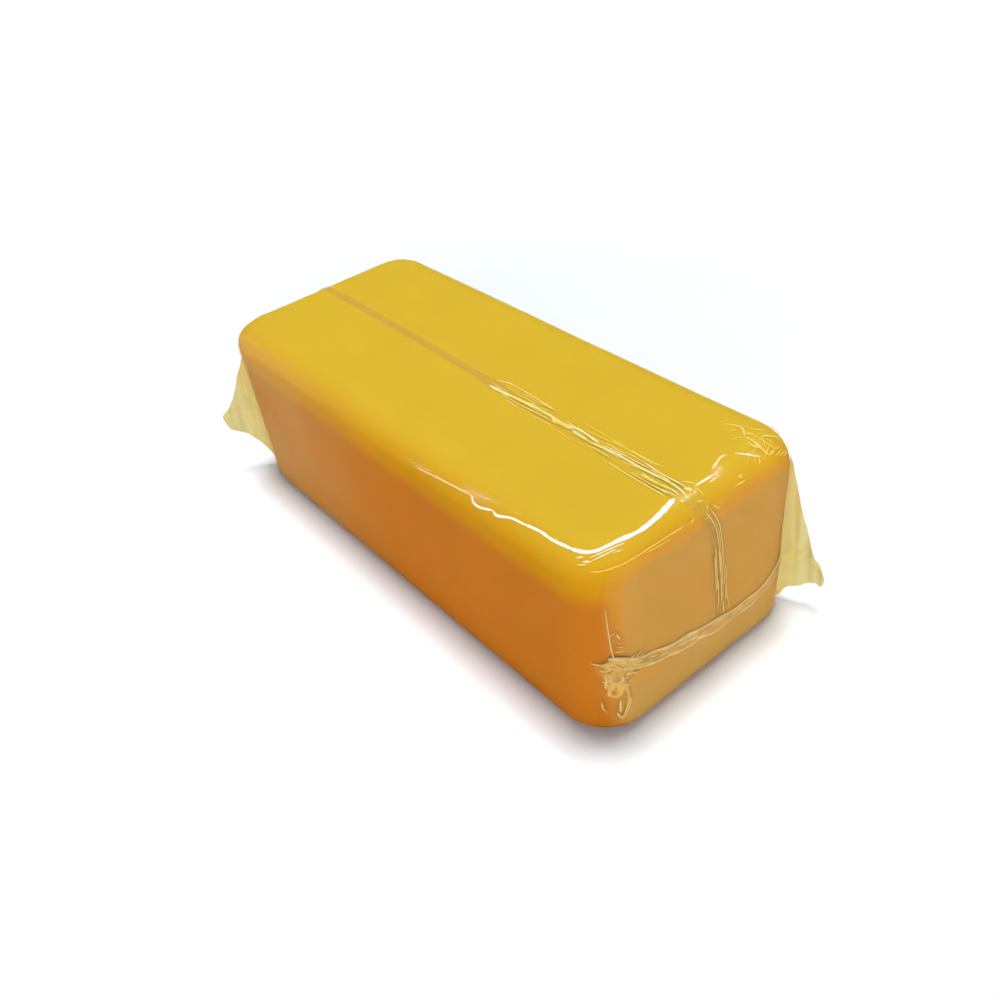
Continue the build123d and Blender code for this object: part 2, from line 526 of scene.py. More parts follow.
def shrink_film(name, roughness, tint=None, amber=None):
    """Clear shrink film: it lets the clay's colour through, mirrors the lights and turns milky where it is
    doubled, welded or crumpled. The haze attribute says how milky each place is, with painted highlights on
    creases and pleats as paler haze, and the amber one how much of the clay's colour it takes on."""
    film = settings()[1]
    material, tree = new_material(name)
    colour = mixed(tree, stored(tree, "amber"), (*(tint or film.tint), 1), (*(amber or film.amber), 1))
    milky = add_node(tree, "BsdfPrincipled", {
        "Base Color": colour, "Roughness": 0.35, "IOR": 1.5, "Specular IOR Level": 0.05,
    })
    clear = add_node(tree, "BsdfTransparent")
    # Milky film still lets most of the light through, so it hardly shades what is under it
    shadow = add_node(tree, "LightPath").outputs["Is Shadow Ray"]
    shade = add_node(tree, "Math", operation="MULTIPLY_ADD", i0=shadow, i1=-0.65, i2=1)
    haze = add_node(tree, "Math", operation="MULTIPLY", i0=stored(tree, "haze"), i1=shade.outputs[0])
    body = add_node(tree, "MixShader", i0=haze.outputs[0], i1=clear.outputs[0], i2=milky.outputs[0])
    # Film mirrors little face on and more at a slant, and alike from its two sides
    mirror = add_node(tree, "BsdfGlossy", Roughness=roughness)
    facing = add_node(tree, "LayerWeight", Blend=0.5).outputs["Facing"]
    slant = add_node(tree, "Math", operation="POWER", i0=facing, i1=5)
    gloss = add_node(tree, "Math", operation="MULTIPLY_ADD", i0=slant.outputs[0], i1=0.077, i2=0.0032)
    show(tree, add_node(
        tree, "MixShader", i0=gloss.outputs[0], i1=body.outputs[0], i2=mirror.outputs[0]
    ))
    return material


def table_paper(colour):
    """Matt white backdrop paper, backlit away from the bar so that it fades evenly into the white room."""
    material, tree = new_material("backdrop_paper")
    fibres = mapped(tree, object_noise(tree, 3), 0.3, 0.7, 0.995, 1)
    toned = add_node(tree, "HueSaturation", Color=(*colour, 1), Value=fibres)
    paper = add_node(tree, "BsdfPrincipled", {
        "Base Color": toned.outputs["Color"], "Roughness": 0.9, "Specular IOR Level": 0.1,
    })
    away = add_node(tree, "VectorMath", operation="LENGTH", i0=object_coordinates(tree))
    glow = mapped(tree, away.outputs["Value"], 0.1, 0.8, 0, 1)
    backlight = add_node(tree, "Emission", Strength=glow)
    show(tree, add_node(tree, "AddShader", i0=paper.outputs[0], i1=backlight.outputs[0]))
    return material


# ---------------------------------------------------------------- courses, in millimetres

# Line of each end weld, left to right: share of the way from the middle to an ear's root, share of height
NEAR_SEAL = [
    (-1.05, 0.44), (-0.87, 0.418), (-0.55, 0.339), (-0.22, 0.288), (0.16, 0.244), (0.55, 0.235),
    (0.77, 0.279), (1.05, 0.32),
]
FAR_SEAL = [
    (-1.05, 0.405), (-0.77, 0.368), (-0.38, 0.31), (0, 0.285), (0.38, 0.273), (0.77, 0.304), (1.05, 0.342),
]

# The ears: name, node, end, side, share of height where the weld runs in, how far the weld droops, the
# leaf's bend in degrees, how amber its film is, its free edge as (distance out, height), and seed
EARS = [
    ("near_right_corner", "near_right_ear", 1, 1, 0.31, 1.2, -50, 0.1, [(0, 27.8), (0.8, 24.3), (2.1, 19.4),
      (3.45, 15.1), (4.75, 10.8), (5.5, 9.2), (6.5, 8.2), (7.15, 7), (7.15, 5.6), (6.55, 4.5), (5.7, 4.7),
      (4.6, 3.9), (2.9, 2.9), (1.5, 2.5), (0.8, 1.4), (0.3, 0.5), (0, 0.4)], 31),
    ("far_left_corner", "far_left_ear", -1, -1, 0.405, 0.6, 25, 0.2, [(0, 24.6), (1.2, 21.9), (2.6, 19.6),
      (4.1, 16.9), (5.8, 14.35), (7.25, 12.95), (7.85, 12), (7.6, 10.5), (7.1, 9.2), (5.5, 8.2),
      (3.65, 6.4), (1.7, 3.9), (0.4, 1.6), (0, 1.4)], 32),
    ("far_right_corner", "far_right_ear", -1, 1, 0.342, 0.9, 32, 0.3, [(0, 25.5), (1.6, 20.6), (3.4, 16),
      (5.2, 12.6), (6.5, 10.9), (6.8, 9.6), (6.3, 8), (4.6, 6.6), (2.4, 4.6), (0, 2.2)], 33),
]

# Outline of the folded corner, and the strands in it with their widths: across and height on the near end
FOLD_OUTLINE = [
    (-17.9, 24.6), (-17, 20.5), (-15.5, 17.8), (-15, 15.2), (-13.2, 14.2), (-12, 12.4), (-12.9, 10),
    (-14.8, 9.4), (-14.7, 7), (-14.7, 5), (-15.7, 2), (-17, 1.7), (-18.7, 3.8), (-18.9, 9), (-19, 13.5),
    (-18.3, 15.4), (-18, 19),
]
FOLD_STRANDS = [
    ([(-17.7, 24), (-17.6, 21.5), (-17.3, 17.8), (-17.1, 15.4), (-16.8, 13.9)], 0.4),
    ([(-18.4, 13.3), (-16.8, 14.1), (-15.7, 13.9)], 0.7), ([(-17.2, 12.9), (-16.1, 12.3)], 0.6),
    ([(-15.5, 13.4), (-14.1, 12.7), (-13.4, 12.8)], 0.6),
    ([(-15.6, 12.3), (-14.7, 12.6), (-13.4, 11.9)], 0.5),
    ([(-15.6, 11.5), (-14.5, 10.8), (-13.5, 10.5)], 0.5), ([(-18.4, 12.5), (-17.7, 12.4)], 0.5),
    ([(-17.6, 11.9), (-17.3, 9.8), (-17.6, 7.9), (-16.7, 7.2), (-16.1, 8.2), (-16, 10.9)], 0.6),
    ([(-15.9, 9.5), (-15.4, 7.8), (-15.3, 5.7), (-15.6, 4.3), (-16.3, 2.3)], 0.8),
    ([(-17.9, 12.1), (-17.8, 10.7), (-18, 9.1)], 0.5), ([(-18.5, 6.5), (-18.3, 5.1), (-18, 4.2)], 0.5),
    ([(-16.4, 6.7), (-16.5, 5.1), (-16.4, 3.8)], 0.5), ([(-16.9, 4), (-16.6, 3), (-16.2, 2.4)], 0.5),
    ([(-16.7, 17.5), (-15.9, 17.3)], 0.3), ([(-16.7, 16.7), (-15.8, 16.5)], 0.3),
    ([(-16.7, 15.7), (-15.8, 15.9)], 0.3), ([(-17.2, 18.7), (-16.8, 19.5)], 0.3),
    ([(-16.2, 17.9), (-16.6, 19.3)], 0.3), ([(-16.3, 10.3), (-16.4, 8.3)], 0.6),
    ([(-17.1, 10.6), (-17.3, 8.6)], 0.5),
]

# The crisp crease round the rim and the lesser ones beside it, their tops painted with a highlight colour:
# points, width at start and end, highlight share
RIM_CREASES = [
    ([(10.7, -19.9, 28.6), (16.4, -19.6, 29.2), (22.7, -19.2, 29.7)], 0.18, 0.3, 0.6),
    ([(22.6, -19.2, 29.7), (23.2, -19.3, 29.6), (23.7, -19.6, 29.2), (25.1, -19.6, 29.1),
      (27.6, -19.2, 29.7)], 0.4, 0.36, 1),
    ([(27.4, -19.2, 29.7), (28.2, -19.4, 29.5), (29, -19.3, 29.6), (31, -18.8, 30.1), (33.7, -18.6, 30.3)],
      0.45, 0.34, 1),
    ([(33.2, -18.6, 30.3), (35.9, -18.3, 30.5), (38.4, -18.3, 30.5), (41.6, -17.9, 30.7)], 0.4, 0.5, 1),
    ([(40.8, -18.1, 30.6), (42.4, -17.6, 30.8), (43.3, -17, 30.8), (44.1, -15.8, 31), (44.7, -13.1, 31.1),
      (45.1, -10, 30.9), (44.9, -6.9, 31), (44.5, -4.4, 31.2), (44.2, -2.9, 31.3)], 0.5, 0.82, 1),
    ([(43.7, -17.5, 30.4), (44.4, -16.1, 30.7), (44.8, -14.9, 30.9), (45.3, -12.8, 30.8)], 0.2, 0.25, 0.7),
    ([(44.1, -17.4, 30.1), (44.7, -16.2, 30.5), (45.1, -14.8, 30.7), (45.3, -14, 30.8)], 0.2, 0.2, 0.7),
    ([(42.4, -18.3, 30.2), (43.2, -17.7, 30.4)], 0.3, 0.3, 0.7),
    ([(43.3, -18.1, 29.9), (44.2, -17.4, 30.1)], 0.3, 0.3, 0.7),
    ([(42.9, -18.8, 29.6), (43.9, -18, 29.8)], 0.25, 0.2, 0.5),
    ([(45.3, -15, 30.6), (45.8, -13.4, 30.5)], 0.2, 0.2, 0.6),
    ([(44.4, -18.3, 29.2), (45.5, -17.3, 29.2), (46.6, -15, 29.4), (46.9, -11.9, 29.4), (47, -7.8, 29.3),
      (47, -4.3, 29.1)], 0.18, 0.22, 0.15),
    ([(47.1, -11.1, 29.1), (47.2, -8.1, 28.9), (47.3, -6.7, 28.9)], 0.15, 0.15, 0.05),
    ([(44.4, 0.7, 31.3), (44.4, 2, 31.2), (44.5, 3.9, 31.2)], 0.35, 0.45, 0.8),
    ([(43.8, 4.6, 31.4), (43.4, 5.9, 31.5), (43, 7.4, 31.5), (43.3, 8.2, 31.5)], 0.55, 0.35, 0.6),
    ([(43.6, 9.2, 31.5), (44.5, 10.1, 31.2), (45.2, 10.9, 30.9), (45.7, 11.9, 30.5)], 0.38, 0.3, 0.7),
]

# Short wrinkles where the film is gathered at the near right top corner and beside the seam's bend, with a
# painted highlight share like the rim creases
CORNER_CREASES = [
    ([(38, 12.9, 31.6), (39.1, 13.7, 31.6), (40.6, 14, 31.6), (42.1, 12.8, 31.6)], 0.25, 0.45, 0.28),
    ([(42.1, 12.8, 31.6), (43.3, 12.7, 31.5), (45.1, 12.7, 30.9), (46.2, 13, 30.2)], 0.35, 0.4, 0.3),
    ([(41.8, 13.3, 31.6), (42.6, 14, 31.6)], 0.4, 0.4, 0.39),
    ([(43.5, 14.3, 31.4), (44, 15.6, 31), (44.4, 16.4, 30.6), (44.9, 16.7, 30.1)], 0.3, 0.35, 0.3),
    ([(39.7, 12.5, 31.6), (40.6, 13.2, 31.6)], 0.25, 0.25, 0.22),
    ([(42.8, 12.2, 31.6), (44.2, 12.1, 31.3), (45, 12.8, 31)], 0.25, 0.3, 0.25),
    ([(45.7, 11.5, 30.6), (46.3, 10.9, 30)], 0.25, 0.3, 0.33),
    ([(45.4, 10.9, 30.7), (45.9, 10.4, 30.2)], 0.2, 0.2, 0.22),
    ([(46.1, 13.1, 30.2), (45.8, 14.3, 30.4)], 0.5, 0.4, 0.3),
    ([(46.4, 13.9, 29.8), (46, 15.6, 29.8)], 0.3, 0.3, 0.25),
    ([(46.6, 14.4, 29.6), (46, 16.5, 29.3)], 0.3, 0.3, 0.28),
    ([(46.7, 15.2, 29.2), (46.1, 16.8, 28.9)], 0.3, 0.3, 0.28),
    ([(46.2, 6.9, 30.1), (46.4, 7.6, 30)], 0.7, 0.7, 0.19),
    ([(46.7, 5.9, 29.6), (46.8, 6.8, 29.5), (46.8, 7.8, 29.5)], 0.3, 0.4, 0.19),
    ([(46.6, 0.3, 29.8), (47.1, 0.1, 29.1)], 0.3, 0.3, 0.25),
    ([(46.9, 1.1, 29.3), (47.4, 2, 28.4)], 0.3, 0.3, 0.22),
    ([(47.4, -1, 28.4), (47.4, -0.1, 28.4)], 0.25, 0.25, 0.19),
    ([(47.2, -3.3, 29), (47, -2.4, 29.2)], 0.3, 0.3, 0.19),
    ([(42.6, -0.1, 31.6), (43.4, 0.5, 31.5), (44.3, 1.1, 31.3)], 0.25, 0.3, 0.28),
    ([(44.4, 0.5, 31.2), (45.2, 0.7, 30.9), (45.9, 0.7, 30.4)], 0.3, 0.25, 0.28),
    ([(46, -0.9, 30.3), (46.1, 0.2, 30.2)], 0.3, 0.3, 0.28),
    ([(43.8, -0.8, 31.4), (44.7, 0.1, 31.1)], 0.9, 0.7, 0.39),
]

# Threads of the pleated seam on top, painted with a highlight colour: places (along, across), width,
# highlight share
SEAM_THREADS = [
    ([(5.5, -0.3), (8.4, 0.5), (13.5, 0.4), (18.4, 0.1)], 0.22, 0.55),
    ([(5.8, -1.9), (8.4, -1.9), (11, -1.7)], 0.6, 0.7),
    ([(10, -1.7), (15.9, -1.3), (20.6, -1.3)], 0.5, 0.55),
    ([(9, -2.2), (13.6, -2.3), (20.2, -2)], 0.25, 0.4), ([(19.5, -1.6), (24, -1.4)], 0.9, 0.4),
    ([(22.2, -1.2), (24.7, -0.9), (29.2, -1.3)], 0.36, 0.75), ([(23.9, -1.7), (27.3, -1.8)], 0.3, 0.75),
    ([(28, -1.9), (32.8, -1.5), (37.6, -1.5), (41, -1.3)], 0.42, 0.7),
    ([(29.4, -1.3), (33.5, -1), (37, -0.9)], 0.22, 0.5),
    ([(36.6, -0.4), (40.2, -0.6), (44.3, -0.5)], 0.22, 0.8),
    ([(36.9, -1.6), (39.4, -1.3), (44.4, -1.4), (45, -1.3)], 0.26, 0.75),
    ([(37.7, -2.3), (39.8, -2.4), (44.4, -2.1)], 0.3, 0.5), ([(41.4, -3.2), (44.6, -2.4)], 0.22, 0.5),
    ([(32.6, -3.5), (37.5, -3.7), (43.4, -3.7)], 0.25, 0.4),
    ([(36.5, -3), (40, -3.1), (43, -3)], 0.2, 0.35), ([(29.5, 0.2), (34.4, 0.3), (38, 0.1)], 0.2, 0.35),
    ([(38, -0.9), (42, -1)], 0.2, 0.6),
]


def on_near_end(form, across, up):
    """Points of the skin on the near end and its rounded corners, from places across it and heights."""
    past = np.clip(np.abs(across) - (form.half_y - form.corner), 0, form.skin_corner)
    along = form.half_x - form.corner + np.sqrt(form.skin_corner**2 - past**2)
    return form.on_skin(np.column_stack([along, across, up]))


# ---------------------------------------------------------------- operators


class CLAYBAR_OT_clay(bpy.types.Operator):
    """Press the block of clay"""

    bl_idname = "claybar.clay"
    bl_label = "Clay"

    def execute(self, context):
        form = Form()
        low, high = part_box("clay_block")
        clay = add_box("clay", low, high)
        edit(clay)
        for wanted, radius, segments in (
            (lambda a, b: abs(a.z - b.z) > (high.z - low.z) / 2, form.corner, 12),
            (lambda a, b: min(a.z, b.z) > high.z - SLACK, form.top_radius, 10),
            (lambda a, b: max(a.z, b.z) < low.z + SLACK, form.bottom_radius, 4),
        ):
            select_edges(clay, wanted)
            bpy.ops.mesh.bevel(offset=radius * MM, segments=segments, affect="EDGES")
        bpy.ops.object.mode_set(mode="OBJECT")
        mesh_step, dents_apart = 0.8, 16
        remesh = clay.modifiers.new("even mesh", "REMESH")
        remesh.mode, remesh.voxel_size = "VOXEL", mesh_step * MM
        bpy.ops.object.modifier_apply(modifier=remesh.name)
        points = vertices_of(clay) / MM
        hollow = 0.5 + 0.5 * np.clip(1.6 * lumps(points, dents_apart, 1), -1, 1)
        depth = settings()[0].dent_depth / MM * hollow
        points = form.on(points, 0) - depth[:, None] * form.outward(points)
        move_vertices(clay, points)
        facing = form.outward(form.on(points, 0))
        # Painted light and shade: the clay just below the rounded edge takes the same painted colour as the
        # edge itself
        band = 0.26 * smooth((points[:, 2] - form.top + 9) / 4.5)
        # Which way each place faces, which picks its painted lit or shaded colour
        store(clay, "facing_up", np.clip(np.maximum(facing[:, 2], band), 0, 1))
        store(clay, "facing_end", smooth((np.abs(facing[:, 0]) - 0.7) / 0.28))
        finish_piece(clay, pressed_clay(), "clay", "clay_block")
        return {"FINISHED"}


def corner_wrinkles(form, centre, spread, count, height, seed):
    """Short random creases round a corner of the wrap."""
    random = np.random.default_rng(seed)
    wrinkles = []
    for _ in range(count):
        start = np.array(centre) + random.normal(0, 1, 3) * spread
        heading = random.normal(0, 1, 3) * spread
        heading *= random.uniform(1.5, 4.5) / max(np.linalg.norm(heading), 1e-6)
        bend = random.normal(0, 0.35, 3)
        line = form.on_skin([start, start + heading / 2 + bend, start + heading])
        line = form.on_skin(curve_through(line, 8))
        wrinkles.append((line, height * random.uniform(0.4, 1), random.uniform(0.18, 0.3), 0.3))
    return wrinkles


# Where the skin is wrinkled: middle, spread each way, number of wrinkles and their height
SKIN_WRINKLES = [
    ((43, 15.5, 30.5), (2.4, 3, 1.2), 16, 0.1), ((45.5, 3, 30), (1.2, 3, 1.2), 12, 0.08),
    ((46, -17, 24), (1, 1, 5), 6, 0.12), ((-45, 0, 30), (1.5, 8, 1), 8, 0.1),
]


class CLAYBAR_OT_skin(bpy.types.Operator):
    """Shrink the film onto the block"""

    bl_idname = "claybar.skin"
    bl_label = "Film skin"

    def execute(self, context):
        form = Form()
        x, y, bottom, top = form.skin_x, form.skin_y, form.bottom - form.lift, form.skin_top
        skin = add_box("film_skin", Vector((-x, -y, bottom)) * MM, Vector((x, y, top)) * MM)
        # The mesh is finest where the film is creased
        cut_zones(skin, 0, [(-x, -41, 16), (-41, -10, 26), (-10, 8, 18), (8, 21, 24), (21, 29, 36),
                            (29, 40, 22), (40, x, 34)])
        cut_zones(skin, 1, [(-y, -14, 30), (-14, 8, 20), (8, 14, 15), (14, y, 26)])
        cut_zones(skin, 2, [(bottom, 12, 20), (12, 25, 20), (25, top, 26)])
        points = form.on_skin(vertices_of(skin) / MM)
        facing = form.outward(points)
        creases = []
        for seed, wrinkled in enumerate(SKIN_WRINKLES, 3):
            creases += corner_wrinkles(form, *wrinkled, seed)
        raised = crease_heights(points, creases)
        waves = 0.02 * lumps(points, 5, 2)
        move_vertices(skin, points + (raised + waves)[:, None] * facing)
        ends = smooth((np.abs(facing[:, 0]) - 0.9) / 0.08)
        far_left = smooth((-points[:, 0] + 5) / 45) * smooth((-facing[:, 1] - 0.5) / 0.4)
        patches = 0.5 + 0.5 * lumps(points, 7, 8)
        # The film lies slack on the ends, most of all under their welds
        slackness = 0.15 * (0.7 + 0.6 * patches) + 0.14 * smooth((9 - points[:, 2]) / 3)
        haze = 0.005 + ends * slackness + 0.3 * far_left * (0.5 + patches)
        # Wrinkle crests are painted a little paler, as a painted highlight
        haze += 0.15 * np.clip(raised / 0.2, 0, 1)
        store(skin, "haze", np.clip(haze, 0, 1))
        store(skin, "amber", 0.3 + 0.35 * far_left)
        finish_piece(
            skin, shrink_film("clear_shrink_film", 0.045), "film",
            "film_sleeve", "near_upper_panel", "near_lower_panel", "far_upper_panel", "far_lower_panel",
        )
        return {"FINISHED"}


def end_line(form, course, end, count):
    """An end weld's line on the skin."""
    points = [(end * form.skin_x, across * form.root_y, up * form.skin_top) for across, up in course]
    return spaced(form.on_skin(curve_through(points, count * 3)), count)


def sideways_along(form, line):
    """The direction across a line on the form at each of its points."""
    sideways = np.cross(form.outward(line), unit(np.gradient(line, axis=0)))
    return unit(sideways)


def unit(directions):
    return directions / np.linalg.norm(directions, axis=1, keepdims=True)


def inside(across, margin):
    """0 at a strip's two edges and 1 from this share of its half width inward."""
    return smooth((1 - np.abs(across)) / margin)


def strip(form, name, line, segments, half_width, height):
    """A strip of film along a line on the skin. half_width(s) and height(s, u) are in millimetres, where s
    is the run along the line and u the place across it, from -1 to 1. Returns the piece, s, u and which
    vertices are on its upper side."""
    sunk, upper_share = 0.06, 0.8
    rings = len(line)
    tube, around, along = add_tube(name, segments, rings)
    ring = np.rint(along * (rings - 1)).astype(int)
    run = runs_along(line)[ring]
    upper = around <= upper_share
    back = (around - upper_share) / (1 - upper_share)
    across = np.where(upper, 2 * around / upper_share - 1, 1 - 2 * back)
    base = line[ring] + (across * half_width(run))[:, None] * sideways_along(form, line)[ring]
    base = form.on_skin(base)
    edge = inside(across, 0.06)
    lift = np.where(upper, height(run, across) * edge - sunk * (1 - edge), -sunk)
    move_vertices(tube, base + lift[:, None] * form.outward(base))
    return tube, run, across, upper


def pleats(run_length, half_width, count, length, height, width, seed, fade):
    """Short lengthwise pleats on a strip, as (middle, half length, offset, slope, height, width)."""
    random = np.random.default_rng(seed)
    found = []
    for _ in range(count):
        middle = random.uniform(0, run_length)
        found.append((
            middle,
            random.uniform(0.4, 1) * length,
            random.uniform(-0.85, 0.85) * half_width,
            random.normal(0, 0.035),
            height * random.uniform(0.45, 1) * fade(middle),
            width * random.uniform(0.7, 1.3),
        ))
    return found


def pleat_heights(found, run, offset):
    raised = np.zeros(len(run))
    for middle, half_length, place, slope, height, width in found:
        along = (run - middle) / half_length
        near = np.abs(along) < 1
        across = (offset[near] - place - slope * (run[near] - middle)) / width
        bump = height * (1 - along[near] ** 2) ** 2 * np.exp(-(across**2))
        raised[near] = np.maximum(raised[near], bump)
    return raised


class CLAYBAR_OT_seam(bpy.types.Operator):
    """Fold the lengthwise weld over the top and down both ends"""

    bl_idname = "claybar.seam"
    bl_label = "Back seam"

    def execute(self, context):
        form, film = Form(), settings()[1]
        line = self.course(form)
        total = line_length(line)
        steps = np.linspace(0, total, len(line))
        half, tall = film.seam_width / MM / 2, film.pleat_height / MM

        def strength(run):
            """The pleats stand up on the near half and lie almost flat on the far one."""
            x = np.interp(run, steps, line[:, 0])
            return 0.12 + 0.88 * smooth((x - 4) / 14)

        def half_width(run):
            x = np.interp(run, steps, line[:, 0])
            uneven = 1 + 0.1 * np.sin(run / 3.1) * np.sin(run / 7.3 + 1)
            return half * (0.62 + 0.38 * smooth((x + 5) / 40)) * uneven

        long_pleats = pleats(total, half, 14, 34, tall, 0.13, 12, strength)
        found = long_pleats + pleats(total, half, 110, 7, tall * 0.8, 0.1, 11, strength)
        # Where the seam turns down over the near end its pleats are pinched into a knot of wrinkles
        bend = form.on_skin([(45.5, -0.6, 31.2)])[0]
        knot = corner_wrinkles(form, bend, (1.4, 1.6, 1.4), 26, 0.12, 13)

        def height(run, across):
            raised = film.seam_thickness / MM * (0.5 + 0.1 * strength(run)) * (1 - across**4)
            return raised + pleat_heights(found, run, across * half_width(run))

        seam, run, across, upper = strip(form, "seam_strip", line, 100, half_width, height)
        points = vertices_of(seam) / MM
        pinched = crease_heights(points, knot) * upper * inside(across, 0.3)
        points = points + pinched[:, None] * form.outward(points)
        move_vertices(seam, points)
        raised = pleat_heights(found, run, across * half_width(run)) + pinched
        on_end = smooth((np.abs(points[:, 0]) - 44) / 3)
        # The doubled film is milky, and its pleat crests and pinched wrinkles are painted paler still as a
        # painted highlight
        haze = 0.34 - 0.08 * strength(run) + 0.06 * lumps(points, 2.5, 4) + 2 * raised
        haze *= inside(across, 0.5)
        store(seam, "haze", np.where(upper, np.clip(haze, 0, 0.5), 0))
        store(seam, "amber", np.maximum(0.45 * on_end, 1 - strength(run)))
        material = shrink_film("folded_film_seam", 0.1, film.crease_gold, film.seam_tan)
        finish_piece(seam, material, "film_weld", "back_seam")
        return {"FINISHED"}

    def course(self, form):
        """The seam's middle line, from the far end's weld over the top to the near end's."""
        x, top, rings, window = form.skin_x, form.skin_top, 430, 25
        guide = np.array([
            (-x, -0.6, 8.9), (-x, -0.3, 20), (-x, -0.5, top), (-20, -0.6, top), (4, -1.1, top),
            (17, -1.1, top), (34, -1.6, top), (43, -1.6, top), (x, -0.8, top), (x, 1.2, 24.5), (x, 2.1, 17),
            (x, 2.9, 8.4),
        ])
        line = [np.linspace(a, b, 80, endpoint=False) for a, b in zip(guide, guide[1:])]
        line = spaced(form.on_skin(np.vstack([*line, guide[-1:]])), rings)
        padded = np.pad(line[:, 1], window // 2, mode="edge")
        line[:, 1] = np.convolve(padded, np.ones(window) / window, mode="valid")
        return form.on_skin(line)


class CLAYBAR_OT_seals(bpy.types.Operator):
    """Melt the bead of each crosswise end weld"""

    bl_idname = "claybar.seals"
    bl_label = "End seals"

    def execute(self, context):
        form, film = Form(), settings()[1]
        half, pleat_height = film.seal_width / MM / 2, 0.16
        for name, node, course, end, seed in (
            ("near_seal", "near_end_seal", NEAR_SEAL, 1, 21),
            ("far_seal", "far_end_seal", FAR_SEAL, -1, 22),
        ):
            line = end_line(form, course, end, 150)
            total = line_length(line)

            def strength(run):
                """The pleats are stronger on the left half."""
                return 1 if run < total / 2 else 0.4

            def half_width(run):
                uneven = 0.25 * np.sin(run / 1.7 + seed) * np.sin(run / 2.9)
                return half * (1 + uneven - 0.15 * smooth(run / total - 0.4))

            def height(run, across):
                body = film.seal_height / MM * (0.75 + 0.25 * np.sin(run / 0.9) * np.sin(run / 2.2 + seed))
                edges = 0.55 + 0.45 * np.exp(-(((np.abs(across) - 0.68) / 0.22) ** 2))
                return body * edges * (1 - across**4) + pleat_heights(found, run, across * half)

            found = pleats(total, half, 90, 2, pleat_height, 0.16, seed, strength)
            bead, run, across, upper = strip(form, name, line, 40, half_width, height)
            points = vertices_of(bead) / MM
            edges = np.exp(-(((np.abs(across) - 0.75) / 0.13) ** 2))
            wrinkled = pleat_heights(found, run, across * half) / pleat_height
            # The weld is milky film; its raised edges and wrinkles are painted paler and less amber as a
            # painted highlight
            haze = 0.5 + 0.3 * edges + 0.15 * lumps(points, 1.2, seed) + 0.5 * wrinkled
            haze *= inside(across, 0.2)
            store(bead, "haze", np.where(upper, np.clip(haze, 0.05, 0.85), 0))
            store(bead, "amber", np.clip(0.9 - 0.4 * edges - 0.45 * wrinkled, 0, 1))
            finish_piece(bead, shrink_film(name + "_bead", 0.12, film.end_crease), "film_weld", node)
        return {"FINISHED"}


class CLAYBAR_OT_ears(bpy.types.Operator):
    """Raise the three film corners that stand out from the upright edges"""

    bl_idname = "claybar.ears"
    bl_label = "Standing ears"

    def execute(self, context):
        form = Form()
        for name, node, end, side, weld, *rest in EARS:
            ear = self.raise_ear(form, name, end, side, weld * form.skin_top, *rest)
            finish_piece(ear, shrink_film(name + "_film", 0.12), "film_corner", node)
        return {"FINISHED"}

    def raise_ear(self, form, name, end, side, weld, droop, bend, amber, rim, seed):
        """A two-layer leaf of film. Its layers part near its root and run into the side and the end."""
        tube, around, down = add_tube(name, 80, 150)
        edge = curve_through(rim, 240)
        place = np.linspace(0, 1, len(edge))
        rim_out, rim_z = np.interp(down, place, edge[:, 0]), np.interp(down, place, edge[:, 1])
        root_z = rim[0][1] * (1 - down) + rim[-1][1] * down
        reach = max(out for out, _ in rim)

        # Half way round the tube is one layer, from root to free edge, and the other half is the other one
        leaf = np.where(around < 0.5, 2 * around, 2 - 2 * around)
        layer = np.where(around < 0.5, 1.0, -1.0)
        out = rim_out * leaf
        height = root_z + (rim_z - root_z) * leaf**1.2

        # The leaf leaves the upright edge straight outward and bends round by this many degrees
        diagonal = np.arctan2(side, end)
        root = np.array([end * form.root_x, side * form.root_y])
        radius = reach / abs(radians(bend))
        turn = np.sign(bend)
        centre = root + radius * turn * np.array([-sin(diagonal), cos(diagonal)])
        direction = diagonal + turn * out / radius
        spot = centre + radius * turn * np.stack([np.sin(direction), -np.cos(direction)], axis=1)
        across = np.stack([-np.sin(direction), np.cos(direction)], axis=1)

        # The two layers part by the root, most of all where the weld runs in
        half_thickness, gusset_depth, gusset_length, weld_rise = 0.07, 1.7, 2.6, 0.14
        gusset = gusset_depth * np.exp(-(((height - weld) / 8.5) ** 2))
        gusset = gusset * smooth(down / 0.15) * smooth((1 - down) / 0.1)
        spread = half_thickness + gusset * np.clip(1 - out / gusset_length, 0, 1) ** 2.2

        # Pleats and softer waves run down the leaf and die out at its ends
        phase = np.random.default_rng(seed).uniform(0, 6)
        flat = np.stack([out, height * 0.35, np.full(len(out), seed)], axis=1)
        pleat = np.sin(out * 3.3 + 0.22 * height + phase)
        wave = 0.1 * pleat * smooth(out / 1.5) + 0.5 * lumps(flat, 2.2, seed) * smooth(out / 2)
        wave = wave * smooth(np.minimum(down, 1 - down) / 0.2)
        weld_line = np.exp(-(((height - (weld - droop * leaf)) / 0.5) ** 2)) * smooth(out)
        spot = spot + across * (layer * (spread + weld_rise * weld_line) + wave)[:, None]
        points = np.column_stack([spot, height])

        # The root is sunk a little into the skin, and nothing lies deeper than that
        deepest = form.lift - 0.05
        grip = smooth(1 - out / 0.5)[:, None]
        points = points * (1 - grip) + form.on(points, deepest) * grip
        points = np.where((form.distance(points) < deepest)[:, None], form.on(points, deepest), points)
        move_vertices(tube, points)
        haze = 0.68 + 0.03 * pleat + 0.12 * weld_line + 0.08 * lumps(points, 2.4, seed)
        near_root = smooth(1 - out / (0.55 * reach))
        store(tube, "haze", np.clip(haze + 0.15 * near_root, 0, 0.9))
        store(tube, "amber", np.clip(amber + 0.35 * near_root + 0.1 * lumps(points, 3, seed + 1), 0, 1))
        return tube


